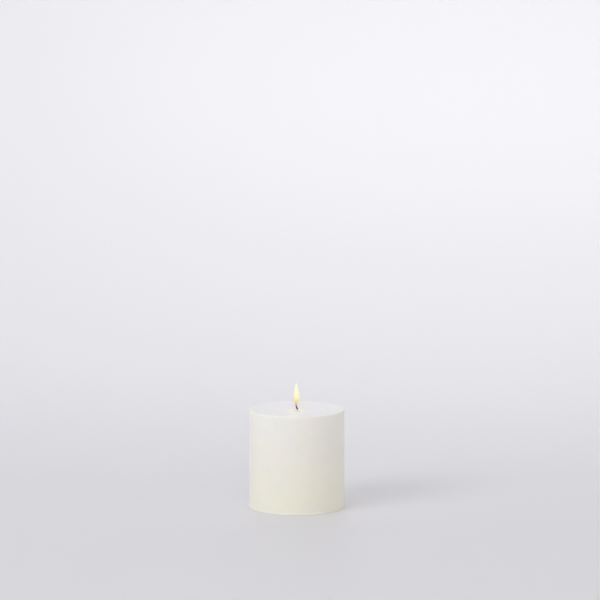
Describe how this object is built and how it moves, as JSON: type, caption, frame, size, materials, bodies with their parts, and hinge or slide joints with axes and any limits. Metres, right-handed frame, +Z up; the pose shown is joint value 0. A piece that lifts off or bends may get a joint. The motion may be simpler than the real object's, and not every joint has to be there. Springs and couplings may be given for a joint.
{
  "type": "pillar candle",
  "caption": "Short wide ivory pillar candle, lit: flat rimmed top with a small melt pool, plaited wick with flame, and a flat base.",
  "frame": {"origin": "centre of the flat base, on the surface that the candle stands on", "axes": "+Z up along the candle's axis and the wick, +X to the right and +Y to the back of the view in which the wick leans left"},
  "size_m": [0.075, 0.075, 0.0976],
  "materials": {
    "coat_wax": "satin ivory wax, slightly translucent",
    "core_wax": "matt ivory wax, slightly translucent",
    "fill_wax": "matt ivory wax, slightly translucent",
    "molten_wax": "clear glossy liquid wax",
    "tinplate": "rolled tinplate",
    "wick_cotton": "plaited cotton, charred where it burns",
    "flame": "luminous flame"
  },
  "bodies": {
    "root": {"outer_coat": "coat_wax", "wax_core": "core_wax", "base_fill": "fill_wax", "melt_pool": "molten_wax", "wick_sustainer": "tinplate", "wick_strand_1": "wick_cotton", "wick_strand_2": "wick_cotton", "wick_strand_3": "wick_cotton", "flame": "flame"}
  },
  "joints": []
}
